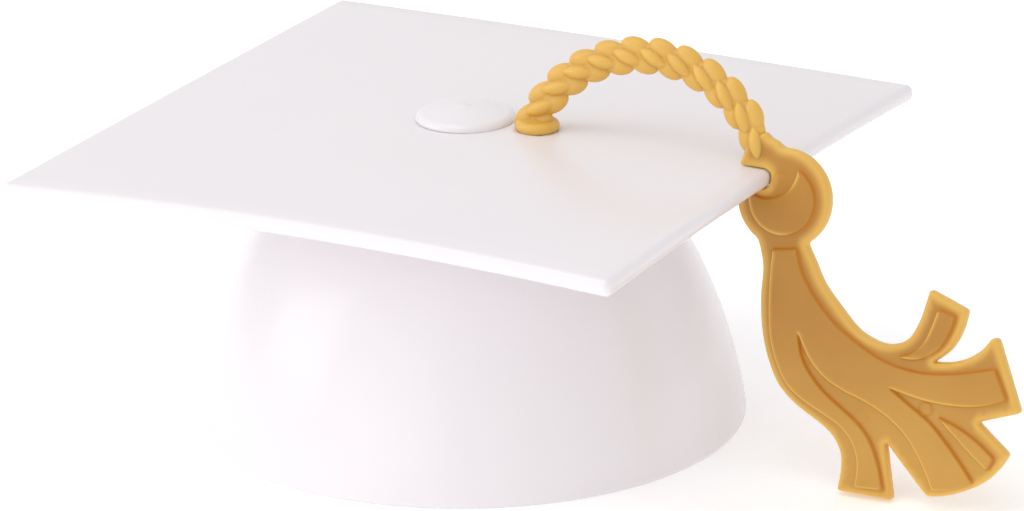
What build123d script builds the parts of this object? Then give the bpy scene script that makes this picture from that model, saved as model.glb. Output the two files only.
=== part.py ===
"""Graduation cap favour: a square, slightly warped board riveted on a bell-shaped skull cap by
the button on top, and a braided tassel that plugs into the board and clips over its edge.

Millimetres. The origin is on the skull cap's axis at the plane of its rim, +Z is up, and the
tassel hangs over the edge on the +X side.
"""
import os
from math import cos, radians, sin

from build123d import *

# ---- board ----------------------------------------------------------------------------
board_side = 89.5            # square, over the edges
board_thickness = 2.3
board_top = 41.0             # height of the top's middle above the rim
board_drop = (               # how far the warped top lies below its middle
    (2.3, 0.7, 1.8),         # front edge: -X corner, middle, +X corner
    (1.9, 0.0, 0.8),         # middle: -X edge, middle, +X edge
    (1.7, 1.5, 1.9),         # back edge: -X corner, middle, +X corner
)
board_corner = 0.95          # plan radius of the four corners
board_edge = 0.9             # rounding along the top and bottom edges

# ---- skull cap ------------------------------------------------------------------------
skull_rim_radius = 37.25     # outside, at the rim
skull_crown_radius = 19.7    # outside, at the flat crown under the board
skull_curve = 72.2           # radius of the bell's outer curve, seen from the side
skull_wall = 1.8
rim_round = 0.55

# ---- seat between board and skull cap ---------------------------------------------------
boss_radius = 16.0           # flat boss under the board's middle, which stands on the crown
boss_height = 0.55           # how far it stands below the underside's middle
seat_gap = 0.05
key_offset = 10.6            # the key stands opposite the tassel, on the -X side
key_radius = 1.5
key_length = 1.4
key_clearance = 0.1

# ---- button -----------------------------------------------------------------------------
button_radius = 6.65
button_height = 1.7
button_side = 0.7            # height of the button's upright edge below its dome
button_round = 0.35
button_gap = 0.12            # under the button's head, where the board is at its middle height
stem_radius = 2.5
stem_clearance = 0.1
stem_slot = 1.0              # saw cut that lets the snap end close
snap_lip = 0.5               # how far the snap end stands out past its stem
snap_land = 0.4              # upright edge of the snap end below its shoulder
snap_tip_radius = 1.75       # at the bottom of the snap end's taper
snap_length = 2.4
snap_gap = 0.1               # between a snap shoulder and the wall that it holds

# ---- tassel: foot -----------------------------------------------------------------------
foot_gap = 1.25              # between the button's edge and the tassel's collar
peg_radius = 1.45
peg_clearance = 0.06
peg_slot = 0.7
peg_lip = 0.4
peg_land = 0.3
peg_tip_radius = 1.0
peg_slot_rise = 1.0          # how far the peg's saw cut runs up past the shoulder
peg_length = 2.0             # tapered snap end below its shoulder
peg_room = 0.6               # radial room round the snap end inside the skull cap's crown
collar_radius = 2.95
collar_height = 1.2
collar_round = 0.7
collar_gap = 0.08
neck_radius = 1.9
neck_height = 2.3

# ---- tassel: flat moulding, in its own plane, with u outward and v up -------------------------
swivel = 2.0                 # the tassel hangs turned this far about its peg
lean = 11.0                  # and leans, because its lowest strand all but touches the table
hang_drop = 0.2              # the line that it leans about is this far below the board's middle
flat_thickness = 2.0
relief = 0.4                 # height of the raised figures
arch_foot = (-0.27, 2.2)     # where the braid leaves the foot, with u from the peg's axis
arch_height = 11.95          # v of the braid's middle, half way along
arch_join = (-1.27, 0.8)     # where it runs into the disc, with u from the board's edge
arch_width = 4.3             # braid, across in the tassel's plane
arch_depth = 3.0             # braid, front to back
disc_centre = (2.2, -4.1)    # u from the board's edge, as in every figure of the flat
disc_radius = 6.5
crescent_radius = 4.75
crescent_bite = 4.5
crescent_offset = (-2.7, 4.4)   # the bite's centre from the crescent's own
slot_top_gap = 0.07
slot_bottom_gap = 0.12
slot_end_gap = 0.12          # between the slot's end and the board's edge when square to it

# ---- worked out ---------------------------------------------------------------------------
half_side = board_side / 2


def between(low: float, middle: float, high: float, t: float) -> float:
    """The parabola through three values at t = -1, 0 and 1, read at t."""
    return low * t * (t - 1) / 2 + middle * (1 - t * t) + high * t * (t + 1) / 2


def board_surface(x: float, y: float) -> float:
    """Height of the warped board's top over a point of the plan."""
    front, middle, back = (between(*row, x / half_side) for row in board_drop)
    return board_top - between(front, middle, back, y / half_side)


def control(low: float, middle: float, high: float) -> tuple:
    """The three Bezier control values of the parabola through three values."""
    return low, 2 * middle - (low + high) / 2, high


peg_offset = button_radius + foot_gap + collar_radius    # peg axis from the cap's axis, along +X
reach = half_side - peg_offset                           # from the peg's axis to the board's edge
board_underside = board_top - board_thickness
seat_z = board_underside - boss_height               # the boss's flat face
crown_z = seat_z - seat_gap                          # top of the skull cap
crown_inside_z = crown_z - skull_wall

# ---- mortarboard ------------------------------------------------------------------------
places = (-half_side, 0, half_side)
columns = [control(*column) for column in zip(*(control(*row) for row in board_drop))]
warped_top = Face.make_bezier_surface(
    [[(x, y, board_top - drop) for y, drop in zip(places, column)] for x, column in zip(places, columns)]
)
with BuildPart() as mortarboard:
    extrude(warped_top, amount=board_thickness, dir=(0, 0, -1))
    with BuildSketch(Plane.XY.offset(board_underside / 2)):
        RectangleRounded(board_side, board_side, board_corner)
    extrude(amount=board_top, mode=Mode.INTERSECT)
    faces_up = mortarboard.faces().sort_by(Axis.Z)
    fillet(faces_up[-1].edges() + faces_up[0].edges(), board_edge)
    with BuildSketch(Plane.XY.offset(seat_z)):
        Circle(boss_radius)
    extrude(amount=board_thickness / 2 + boss_height)
    with BuildSketch(Plane.XY.offset(seat_z)):
        with Locations((-key_offset, 0)):
            Circle(key_radius)
    extrude(amount=-key_length)
    with BuildSketch(Plane.XY.offset(seat_z)):
        Circle(stem_radius + stem_clearance)
        with Locations((peg_offset, 0)):
            Circle(peg_radius + peg_clearance)
    extrude(amount=2 * board_thickness, mode=Mode.SUBTRACT)
mortarboard.part.label = "mortarboard"

# ---- skull cap: bell-shaped shell, open below, with a flat crown --------------------------
peg_bore_radius = peg_radius + peg_lip + peg_room
with BuildPart() as skull_cap:
    with BuildSketch(Plane.XZ):
        with BuildLine():
            bell = RadiusArc((skull_rim_radius, 0), (skull_crown_radius, crown_z), -skull_curve)
            Polyline(bell @ 1, (0, crown_z), (0, 0), bell @ 0)
        make_face()
    revolve(axis=Axis.Z)
    offset(amount=-skull_wall, openings=skull_cap.faces().sort_by(Axis.Z)[0])
    fillet(skull_cap.faces().sort_by(Axis.Z)[0].edges(), rim_round)
    with BuildSketch(Plane.XY.offset(crown_z)):
        Circle(stem_radius + stem_clearance)
        with Locations((-key_offset, 0)):
            Circle(key_radius + key_clearance)
        with Locations((peg_offset, 0)):
            Circle(peg_bore_radius)
    extrude(amount=-skull_wall, mode=Mode.SUBTRACT)
skull_cap.part.label = "skull_cap"

# ---- button: domed head on a split stem that rivets the board to the crown -----------------
head_z = board_top + button_gap
dome_rise = button_height - button_side
button_curve = (button_radius**2 + dome_rise**2) / (2 * dome_rise)
snap_z = crown_inside_z - snap_gap
with BuildPart() as button:
    with BuildSketch(Plane.XZ) as head:
        with BuildLine():
            edge = Polyline((0, head_z), (button_radius, head_z), (button_radius, head_z + button_side))
            dome = RadiusArc(edge @ 1, (0, head_z + button_height), -button_curve)
            Line(dome @ 1, edge @ 0)
        make_face()
        fillet(head.vertices().group_by(Axis.X)[-1].sort_by(Axis.Y)[-1], button_round)
    revolve(axis=Axis.Z)
    with BuildSketch(Plane.XZ):
        Polygon((0, head_z), (stem_radius, head_z), (stem_radius, snap_z), (stem_radius + snap_lip, snap_z),
                (stem_radius + snap_lip, snap_z - snap_land), (snap_tip_radius, snap_z - snap_length),
                (0, snap_z - snap_length), align=None)
    revolve(axis=Axis.Z)
    with BuildSketch(Plane.XY.offset(snap_z - snap_length)):
        Rectangle(3 * stem_radius, stem_slot)
    extrude(amount=crown_z - snap_z + snap_length, mode=Mode.SUBTRACT)
button.part.label = "button"

# ---- tassel: one moulding, a foot with its peg, a braided arch, a slotted disc and strands ---
turn, tilt = radians(swivel), radians(lean)
hang_z = board_top - hang_drop
hang_plane = Plane(
    origin=(peg_offset, 0, hang_z),
    x_dir=(cos(turn), sin(turn), 0),
    z_dir=(cos(tilt) * sin(turn), -cos(tilt) * cos(turn), sin(tilt)),
)
level_plane = Plane(origin=(peg_offset, 0, 0), x_dir=(cos(turn), sin(turn), 0), z_dir=(0, 0, 1))
collar_z = board_surface(peg_offset, 0) + collar_gap
collar_top = collar_z + collar_height
peg_snap_z = seat_z - snap_gap
slot_top = board_surface(half_side + disc_centre[0] - disc_radius - 1, 0) + slot_top_gap
slot_bottom = board_surface(half_side, 0) - board_thickness - slot_bottom_gap
slot_end = reach + slot_end_gap
arch_stop = (reach + arch_join[0], arch_join[1])
edge_plane = hang_plane.shift_origin(hang_plane.from_local_coords((reach, 0, 0)))

with BuildPart() as tassel:
    # braided arch
    with BuildLine(hang_plane) as arch_line:
        ThreePointArc(arch_foot, ((arch_foot[0] + arch_stop[0]) / 2, arch_height), arch_stop)
    with BuildSketch(Plane(origin=arch_line.line @ 0, x_dir=hang_plane.z_dir, z_dir=arch_line.line % 0)):
        Ellipse(arch_depth / 2, arch_width / 2)
    sweep(path=arch_line.line)

    # disc, neck and strands, cut from one flat
    with BuildSketch(edge_plane.offset(-flat_thickness / 2)) as flat:
        with Locations(disc_centre):
            Circle(disc_radius)
        with BuildLine():
            neck_left = Line((-4.3, -1.4), (-3.8, 2.8))
            Polyline(neck_left @ 1, (-0.2, 3.2), (3.0, 2.0), (1.8, -3.4), neck_left @ 0)
        make_face()
        with BuildLine():
            left = Spline((0.5, -9.4), (0.2, -16.7), (2.0, -25.9), (5.6, -30.5), (10.3, -33.1),
                          (13.1, -36.4), (13.3, -41.0))
            strand_1 = Polyline(left @ 1, (20.6, -41.1), (19.1, -33.7), (25.6, -40.0))
            strand_3 = ThreePointArc(strand_1 @ 1, (33.2, -37.0), (36.1, -33.0))
            strand_4 = Polyline(strand_3 @ 1, (31.6, -29.3), (37.3, -26.9), (33.5, -18.2), (32.5, -18.3))
            notch_4 = ThreePointArc(strand_4 @ 1, (30.2, -20.8), (24.9, -22.5))
            strand_5 = ThreePointArc(notch_4 @ 1, (27.8, -19.2), (28.9, -15.2))
            end_5 = Line(strand_5 @ 1, (23.8, -13.3))
            inner = Spline(end_5 @ 1, (22.5, -17.6), (18.4, -21.05), (12.9, -18.9), (8.8, -14.5), (5.9, -9.4))
            Line(inner @ 1, left @ 0)
        make_face()
    extrude(amount=flat_thickness)

    # raised figures on the strands: one broad panel and two ribs
    with BuildSketch(edge_plane.offset(flat_thickness / 2)):
        with BuildLine():
            panel_top = Line((1.5, -10.6), (4.8, -10.3))
            panel_right = Spline(panel_top @ 1, (6.7, -14.5), (11.2, -19.4), (18.5, -23.2), (24.6, -24.0),
                                 (33.5, -22.0))
            panel_end_4 = Line(panel_right @ 1, (35.5, -25.8))
            panel_low_4 = Spline(panel_end_4 @ 1, (29.6, -27.5), (23.6, -27.4), (19.4, -26.6))
            panel_right_3 = Spline(panel_low_4 @ 1, (25.2, -30.2), (31.7, -37.0))
            panel_end_3 = Line(panel_right_3 @ 1, (26.3, -39.0))
            panel_left_3 = Spline(panel_end_3 @ 1, (23.8, -34.5), (19.3, -30.4), (12.8, -27.8),
                                  (8.3, -25.0), (6.1, -21.6))
            panel_right_1 = Spline(panel_left_3 @ 1, (8.3, -26.5), (15.3, -31.8), (18.2, -35.8), (19.5, -40.0))
            panel_end_1 = Line(panel_right_1 @ 1, (15.4, -40.2))
            Spline(panel_end_1 @ 1, (15.4, -35.8), (12.9, -32.6), (4.9, -28.1), (1.6, -19.0), panel_top @ 0)
        make_face()
        with BuildLine():
            rib_2 = ThreePointArc((26.3, -29.4), (29.8, -30.5), (34.4, -33.6))
            rib_2_end = Line(rib_2 @ 1, (33.6, -35.2))
            ThreePointArc(rib_2_end @ 1, (29.9, -32.3), rib_2 @ 0)
        make_face()
        with BuildLine():
            rib_5 = ThreePointArc((20.2, -22.3), (23.6, -19.9), (25.1, -15.4))
            rib_5_end = Line(rib_5 @ 1, (27.6, -16.0))
            ThreePointArc(rib_5_end @ 1, (25.5, -20.7), rib_5 @ 0)
        make_face()
    extrude(amount=relief)

    # crescent on the disc
    with BuildSketch(edge_plane.offset(flat_thickness / 2)):
        with Locations(disc_centre):
            Circle(crescent_radius)
        with Locations((disc_centre[0] + crescent_offset[0], disc_centre[1] + crescent_offset[1])):
            Circle(crescent_bite, mode=Mode.SUBTRACT)
    extrude(amount=relief)

    # slot that clips over the board's edge, cut level so that it lies along the board
    with BuildSketch(level_plane.offset(slot_bottom)):
        Rectangle(slot_end, 6 * flat_thickness, align=(Align.MIN, Align.CENTER))
    extrude(amount=slot_top - slot_bottom, mode=Mode.SUBTRACT)

    # foot: domed collar on the board, and a peg with a split snap end through it
    with BuildSketch(Plane.XZ.shift_origin((peg_offset, 0, 0))):
        Polygon((0, collar_z), (collar_radius, collar_z), (collar_radius, collar_top - collar_round),
                (collar_radius - collar_round, collar_top), (neck_radius, collar_top),
                (neck_radius, collar_z + neck_height), (0, collar_z + neck_height), align=None)
        Polygon((0, collar_z), (peg_radius, collar_z), (peg_radius, peg_snap_z),
                (peg_radius + peg_lip, peg_snap_z), (peg_radius + peg_lip, peg_snap_z - peg_land),
                (peg_tip_radius, peg_snap_z - peg_length), (0, peg_snap_z - peg_length), align=None)
    revolve(axis=Axis((peg_offset, 0, 0), (0, 0, 1)))
    with BuildSketch(level_plane.offset(peg_snap_z - peg_length)):
        Rectangle(3 * peg_radius, peg_slot)
    extrude(amount=peg_length + peg_slot_rise, mode=Mode.SUBTRACT)
tassel.part.label = "tassel"

# ---- files ------------------------------------------------------------------------------
os.makedirs("parts", exist_ok=True)
export_step(mortarboard.part, "parts/mortarboard.step")
export_step(skull_cap.part, "parts/skull_cap.step")
export_step(button.part, "parts/button.step")
export_step(tassel.part, "parts/tassel.step")
print("lowest point of the tassel", round(tassel.part.bounding_box().min.Z, 3))
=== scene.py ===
"""Graduation cap favour: finished meshes, plastics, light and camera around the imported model.

The sub-assemblies are the warped square board, the bell-shaped skull cap, the domed button and the
moulded tassel with its braided arch. Lengths are written in millimetres in the part's own frame
and become metres when a mesh is made.
"""
import logging
import math
from dataclasses import dataclass
from enum import Enum
from typing import Any, Callable, Sequence

import bmesh
import bpy
import numpy as np
from mathutils import Matrix, Vector, kdtree
from mathutils.geometry import delaunay_2d_cdt


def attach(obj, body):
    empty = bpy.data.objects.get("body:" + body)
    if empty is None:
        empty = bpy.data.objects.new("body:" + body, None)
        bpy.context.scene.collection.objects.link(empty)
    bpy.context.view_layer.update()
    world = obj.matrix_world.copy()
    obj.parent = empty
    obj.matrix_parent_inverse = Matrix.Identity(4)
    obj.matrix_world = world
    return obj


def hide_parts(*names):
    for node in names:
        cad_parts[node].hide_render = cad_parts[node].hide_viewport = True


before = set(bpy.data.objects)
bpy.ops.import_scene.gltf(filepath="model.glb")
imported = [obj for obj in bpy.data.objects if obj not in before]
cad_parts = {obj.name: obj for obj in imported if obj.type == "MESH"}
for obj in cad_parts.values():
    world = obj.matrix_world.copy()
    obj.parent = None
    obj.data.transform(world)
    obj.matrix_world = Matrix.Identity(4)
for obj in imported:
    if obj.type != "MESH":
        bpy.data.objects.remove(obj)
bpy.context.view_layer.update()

MM = 0.001
log = logging.getLogger("graduation_cap")
Points = np.ndarray
Height = Callable[[Points], Points]
Colour = tuple[float, float, float]


class Body(Enum):
    """The two bodies that the pieces ride on."""

    CAP = "cap"
    TASSEL = "tassel"


class Slot(Enum):
    """The record's material slots."""

    WHITE = "white_plastic"
    GOLD = "gold_plastic"


class Mask(Enum):
    """Painted light and painted shade, stored on a mesh for its material to read."""

    # painted light: the pale colour at thin edges, on the lit brows of the figures, on the braid's ridges and
    # lower down the strands
    RIM = "rim"
    # painted shade: the deep orange in the creases, at the feet of the figures on their shaded side and in
    # the sunk rings
    CREASE = "crease"


# ---- node trees ---------------------------------------------------------------------------
def add(
    tree: bpy.types.NodeTree, kind: str, inputs: dict[Any, Any] | None = None, **settings: Any
) -> bpy.types.Node:
    """Adds a node to a tree.

    Args:
        tree: the shader or geometry tree.
        kind: the node's type.
        inputs: constants or output sockets, by the input's name or number.
        settings: the node's own properties.

    Returns:
        The new node.
    """
    node = tree.nodes.new(kind)
    for name, value in settings.items():
        setattr(node, name, value)
    for key, value in (inputs or {}).items():
        if isinstance(value, bpy.types.NodeSocket):
            tree.links.new(value, node.inputs[key])
        else:
            node.inputs[key].default_value = value
    return node


def maths(tree: bpy.types.NodeTree, operation: str, *values: Any) -> bpy.types.NodeSocket:
    """Adds a Math node over constants or sockets and returns its output."""
    return add(tree, "ShaderNodeMath", dict(enumerate(values)), operation=operation).outputs[0]


def interface(
    tree: bpy.types.NodeTree, inputs: dict[str, tuple[str, Any]], outputs: dict[str, str]
) -> None:
    """Gives a tree its named sockets.

    Args:
        tree: a node group.
        inputs: the socket's kind and first value, by name.
        outputs: the socket's kind, by name.
    """
    for name, (kind, value) in inputs.items():
        socket = tree.interface.new_socket(name, in_out="INPUT", socket_type="NodeSocket" + kind)
        if value is not None:
            socket.default_value = value
    for name, kind in outputs.items():
        tree.interface.new_socket(name, in_out="OUTPUT", socket_type="NodeSocket" + kind)


def moulded_surface() -> bpy.types.NodeTree:
    """The surface of polished tool steel as plastic takes it: slow waves, fine tooth and faint scuffs.

    Returns:
        A shader group with a Height for bump, a Roughness and a Mottle from 0 to 1.
    """
    tree = bpy.data.node_groups.new("moulded_surface", "ShaderNodeTree")
    interface(
        tree,
        {
            "Wave Scale": ("Float", 90.0),
            "Tooth Scale": ("Float", 2600.0),
            "Tooth Share": ("Float", 0.05),
            "Roughness": ("Float", 0.3),
            "Roughness Spread": ("Float", 0.1),
        },
        {"Height": "Float", "Roughness": "Float", "Mottle": "Float"},
    )
    given = add(tree, "NodeGroupInput").outputs
    place = add(tree, "ShaderNodeTexCoord").outputs["Object"]
    wave = add(tree, "ShaderNodeTexNoise", {"Vector": place, "Scale": given["Wave Scale"], "Detail": 1.0})
    tooth = add(tree, "ShaderNodeTexNoise", {"Vector": place, "Scale": given["Tooth Scale"], "Detail": 2.0})
    scuff_scale = maths(tree, "MULTIPLY", given["Wave Scale"], 4.0)
    scuffs = {"Vector": place, "Scale": scuff_scale, "Detail": 4.0, "Roughness": 0.65}
    scuff = add(tree, "ShaderNodeTexNoise", scuffs)
    fine = maths(tree, "MULTIPLY", tooth.outputs["Fac"], given["Tooth Share"])
    height = maths(tree, "ADD", wave.outputs["Fac"], fine)
    level = maths(tree, "SUBTRACT", scuff.outputs["Fac"], 0.5)
    swing = maths(tree, "MULTIPLY", level, given["Roughness Spread"])
    rough = maths(tree, "ADD", given["Roughness"], swing)
    add(tree, "NodeGroupOutput", {"Height": height, "Roughness": rough, "Mottle": wave.outputs["Fac"]})
    return tree


def mixed(
    tree: bpy.types.NodeTree, share: bpy.types.NodeSocket, first: Any, second: Any
) -> bpy.types.NodeSocket:
    """Mixes two colours.

    Args:
        tree: the shader tree.
        share: how much of the second colour shows.
        first: a colour, or a socket that gives one.
        second: a colour.

    Returns:
        The mixed colour's socket.
    """
    start = first if isinstance(first, bpy.types.NodeSocket) else (*first, 1)
    inputs = {0: share, 6: start, 7: (*second, 1)}
    return add(tree, "ShaderNodeMix", inputs, data_type="RGBA", clamp_factor=True).outputs[2]


@dataclass(frozen=True)
class Plastic:
    """What a moulded plastic's finish is made from, whatever its colour."""

    roughness: float
    spread: float
    wave_scale: float
    bump: float
    index: float
    scatter: float
    scatter_radius: Colour
    scatter_depth: float

    def colours(self, tree: bpy.types.NodeTree, mottle: bpy.types.NodeSocket) -> bpy.types.NodeSocket:
        """Gives the colour over the surface, which each plastic makes for itself."""
        raise NotImplementedError

    def build(self, name: str, surface: bpy.types.NodeTree) -> bpy.types.Material:
        """Makes the material.

        Args:
            name: the material's name.
            surface: the moulded_surface group.

        Returns:
            The finished material.
        """
        material = bpy.data.materials.new(name)
        material.use_nodes = True
        tree = material.node_tree
        shader = tree.nodes["Principled BSDF"]
        skin = add(tree, "ShaderNodeGroup", node_tree=surface)
        skin.inputs["Wave Scale"].default_value = self.wave_scale
        skin.inputs["Roughness"].default_value = self.roughness
        skin.inputs["Roughness Spread"].default_value = self.spread
        height = {"Height": skin.outputs["Height"], "Strength": self.bump, "Distance": MM}
        bump = add(tree, "ShaderNodeBump", height)
        tree.links.new(self.colours(tree, skin.outputs["Mottle"]), shader.inputs["Base Color"])
        tree.links.new(skin.outputs["Roughness"], shader.inputs["Roughness"])
        tree.links.new(bump.outputs["Normal"], shader.inputs["Normal"])
        shader.inputs["IOR"].default_value = self.index
        shader.inputs["Subsurface Weight"].default_value = self.scatter
        shader.inputs["Subsurface Radius"].default_value = self.scatter_radius
        shader.inputs["Subsurface Scale"].default_value = self.scatter_depth
        return material


@dataclass(frozen=True)
class WhitePlastic(Plastic):
    """Glossy white polystyrene, faintly lavender, a little translucent."""

    colour: Colour = (0.872, 0.834, 0.860)
    shade: Colour = (0.850, 0.808, 0.836)
    roughness: float = 0.24
    spread: float = 0.10
    wave_scale: float = 45.0
    bump: float = 0.05
    index: float = 1.55
    scatter: float = 0.12
    scatter_radius: Colour = (1.0, 0.8, 0.8)
    scatter_depth: float = 0.0015

    def colours(self, tree: bpy.types.NodeTree, mottle: bpy.types.NodeSocket) -> bpy.types.NodeSocket:
        """Clouds the white a little."""
        return mixed(tree, mottle, self.shade, self.colour)


@dataclass(frozen=True)
class GoldPlastic(Plastic):
    """Satin golden-yellow plastic, with light and shade painted on: paler where it is thin and on the lit
    edges of its figures, a painted deep-orange shade down in its creases.
    """

    face: Colour = (0.475, 0.215, 0.024)
    # the pale colour of painted light: glow through thin edges and painted highlights on ridges
    rim: Colour = (0.785, 0.475, 0.094)
    # the deep orange of painted shade in the creases
    crease: Colour = (0.560, 0.200, 0.004)
    clouding: float = 0.25
    roughness: float = 0.34
    spread: float = 0.12
    wave_scale: float = 120.0
    bump: float = 0.12
    index: float = 1.49
    scatter: float = 0.25
    scatter_radius: Colour = (1.0, 0.55, 0.15)
    scatter_depth: float = 0.0012

    def colours(self, tree: bpy.types.NodeTree, mottle: bpy.types.NodeSocket) -> bpy.types.NodeSocket:
        """Colours the faces, and paints light on the thin rims and lit edges and shade in the creases, by the
        masks on the mesh.

        Args:
            tree: the material's tree.
            mottle: the surface's slow clouds, from 0 to 1.

        Returns:
            The colour's socket.
        """
        # the first attribute read here is the painted-light mask, the second the painted-shade mask
        rim = add(tree, "ShaderNodeAttribute", attribute_name=Mask.RIM.value).outputs["Fac"]
        crease = add(tree, "ShaderNodeAttribute", attribute_name=Mask.CREASE.value).outputs["Fac"]
        clouds = maths(tree, "MULTIPLY", maths(tree, "SUBTRACT", mottle, 0.5), self.clouding)
        # the face colour, lifted towards the pale colour by painted light and clouded at random, then
        # darkened by painted shade
        body = mixed(tree, maths(tree, "ADD", rim, clouds), self.face, self.rim)
        return mixed(tree, crease, body, self.crease)


@dataclass(frozen=True)
class Paper:
    """The matt white paper that the cap stands on."""

    colour: Colour = (0.98, 0.98, 0.98)
    glow: float = 0.21
    tooth_scale: float = 900.0
    bump: float = 0.05
    roughness: float = 0.9

    def build(self) -> bpy.types.Material:
        """Makes the material: white with a faint tooth, lit a little from below as on a light table.

        Returns:
            The finished material.
        """
        material = bpy.data.materials.new("white_paper")
        material.use_nodes = True
        tree = material.node_tree
        shader = tree.nodes["Principled BSDF"]
        place = add(tree, "ShaderNodeTexCoord").outputs["Object"]
        tooth = add(tree, "ShaderNodeTexNoise", {"Vector": place, "Scale": self.tooth_scale, "Detail": 3.0})
        height = {"Height": tooth.outputs["Fac"], "Strength": self.bump, "Distance": MM}
        bump = add(tree, "ShaderNodeBump", height)
        tree.links.new(bump.outputs["Normal"], shader.inputs["Normal"])
        shader.inputs["Base Color"].default_value = (*self.colour, 1)
        shader.inputs["Emission Color"].default_value = (1, 1, 1, 1)
        shader.inputs["Emission Strength"].default_value = self.glow
        shader.inputs["Roughness"].default_value = self.roughness
        shader.inputs["Specular IOR Level"].default_value = 0.1
        return material


# ---- plane geometry -------------------------------------------------------------------------
def stroke(*points: tuple[float, float], step: float = 0.25) -> Points:
    """A smooth curve through the points, or a straight line through two.

    Args:
        points: the points that the curve passes through.
        step: the distance between samples.

    Returns:
        The samples, without the last point, which the next stroke begins with.
    """
    p = np.array(points, float)
    length = np.linalg.norm(np.diff(p, axis=0), axis=1)[:, None]
    chord = np.diff(p, axis=0) / length
    slope = np.empty_like(p)
    slope[1:-1] = (chord[:-1] * length[1:] + chord[1:] * length[:-1]) / (length[1:] + length[:-1])
    slope[0] = chord[0] if len(p) == 2 else (3 * chord[0] - slope[1]) / 2
    slope[-1] = chord[-1] if len(p) == 2 else (3 * chord[-1] - slope[-2]) / 2
    samples = []
    for i, run in enumerate(length[:, 0]):
        count = max(1, round(run / step))
        t = (np.arange(count) / count)[:, None]
        samples.append(
            p[i] * (1 - t) ** 2 * (1 + 2 * t)
            + p[i + 1] * t**2 * (3 - 2 * t)
            + run * t * (1 - t) * (slope[i] * (1 - t) - slope[i + 1] * t)
        )
    return np.concatenate(samples)


def arc(centre: tuple[float, float], radius: float, first: float, last: float, step: float = 0.25) -> Points:
    """Samples along an arc.

    Args:
        centre: the arc's centre.
        radius: the arc's radius.
        first: where it begins, in degrees.
        last: where it ends, in degrees.
        step: the distance between samples.

    Returns:
        The samples, without the last point.
    """
    count = max(2, round(abs(math.radians(last - first)) * radius / step))
    angle = np.radians(first + (last - first) * np.arange(count) / count)
    return np.array(centre) + radius * np.column_stack([np.cos(angle), np.sin(angle)])


def closed_loop(*strokes: Points, step: float = 0.25, soften: int = 2) -> Points:
    """Joins strokes into an even, counter-clockwise loop with softened corners.

    Args:
        strokes: the strokes in order, each ending where the next begins.
        step: the distance between the loop's points.
        soften: how many times each point is averaged with its neighbours.

    Returns:
        The loop's points, with the last not repeated.
    """
    line = np.concatenate(strokes)
    ring = np.vstack([line, line[:1]])
    along = np.concatenate([[0], np.cumsum(np.linalg.norm(np.diff(ring, axis=0), axis=1))])
    count = round(along[-1] / step)
    at = np.arange(count) / count * along[-1]
    loop = np.column_stack([np.interp(at, along, ring[:, k]) for k in (0, 1)])
    for _ in range(soften):
        loop = (np.roll(loop, 1, 0) + 2 * loop + np.roll(loop, -1, 0)) / 4
    x, y = loop.T
    area = (x * np.roll(y, -1) - y * np.roll(x, -1)).sum()
    return loop if area > 0 else loop[::-1]


def edge_distance(points: Points, loop: Points, chunk: int = 1500) -> Points:
    """Distance from each point to the nearest edge of a closed loop.

    Args:
        points: the points.
        loop: the loop's points, with the last not repeated.
        chunk: how many points are worked out at a time.

    Returns:
        One distance for each point.
    """
    edge = np.roll(loop, -1, axis=0) - loop
    squared = np.maximum((edge**2).sum(1), 1e-12)
    nearest = np.empty(len(points))
    for low in range(0, len(points), chunk):
        away = points[low : low + chunk, None] - loop
        t = np.clip((away * edge).sum(2) / squared, 0, 1)
        gap = away - t[..., None] * edge
        nearest[low : low + chunk] = np.sqrt((gap**2).sum(2).min(1))
    return nearest


def is_inside(points: Points, loop: Points) -> Points:
    """Tells whether each point lies inside a closed loop.

    Args:
        points: the points.
        loop: the loop's points, with the last not repeated.

    Returns:
        True or False for each point.
    """
    x, y = points[:, 0, None], points[:, 1, None]
    (x0, y0), (x1, y1) = loop.T, np.roll(loop, -1, axis=0).T
    rise = np.where(y1 == y0, 1e-12, y1 - y0)
    crossed = ((y0 > y) != (y1 > y)) & (x < x0 + (y - y0) * (x1 - x0) / rise)
    return crossed.sum(1) % 2 == 1


def depth_inside(points: Points, loop: Points) -> Points:
    """Signed distance to a loop, positive inside it."""
    distance = edge_distance(points, loop)
    return np.where(is_inside(points, loop), distance, -distance)


def inset(loop: Points, distance: float) -> Points:
    """Points at a distance inside a loop.

    Args:
        loop: a counter-clockwise loop.
        distance: how far inside it, or outside it if this is negative.

    Returns:
        The points that still lie at that distance from the whole loop.
    """
    along = np.roll(loop, -1, 0) - np.roll(loop, 1, 0)
    along /= np.maximum(np.linalg.norm(along, axis=1)[:, None], 1e-9)
    moved = loop + distance * np.column_stack([-along[:, 1], along[:, 0]])
    true = np.abs(depth_inside(moved, loop) - distance) < 0.01 + 0.1 * abs(distance)
    return moved[true]


def smooth_step(value: Points) -> Points:
    """Rises smoothly from 0 to 1 as the value goes from 0 to 1."""
    t = np.clip(value, 0, 1)
    return t * t * (3 - 2 * t)


# ---- meshes ---------------------------------------------------------------------------------
def new_object(name: str, vertices: Points, faces: Sequence[Sequence[int]]) -> bpy.types.Object:
    """Makes a smooth-shaded mesh object.

    Args:
        name: the object's name.
        vertices: its vertices.
        faces: its faces, as rows of vertex numbers.

    Returns:
        The object, in the units of its vertices.
    """
    mesh = bpy.data.meshes.new(name)
    mesh.from_pydata([tuple(v) for v in vertices], [], [tuple(f) for f in faces])
    mesh.validate()
    mesh.shade_smooth()
    piece = bpy.data.objects.new(name, mesh)
    bpy.context.scene.collection.objects.link(piece)
    return piece


def baked(piece: bpy.types.Object) -> bpy.types.Object:
    """Turns an object's live modifiers into its mesh.

    Args:
        piece: the object.

    Returns:
        The same object, with no modifiers.
    """
    depsgraph = bpy.context.evaluated_depsgraph_get()
    mesh = bpy.data.meshes.new_from_object(piece.evaluated_get(depsgraph))
    piece.modifiers.clear()
    piece.data = mesh
    mesh.name = piece.name
    return piece


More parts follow.
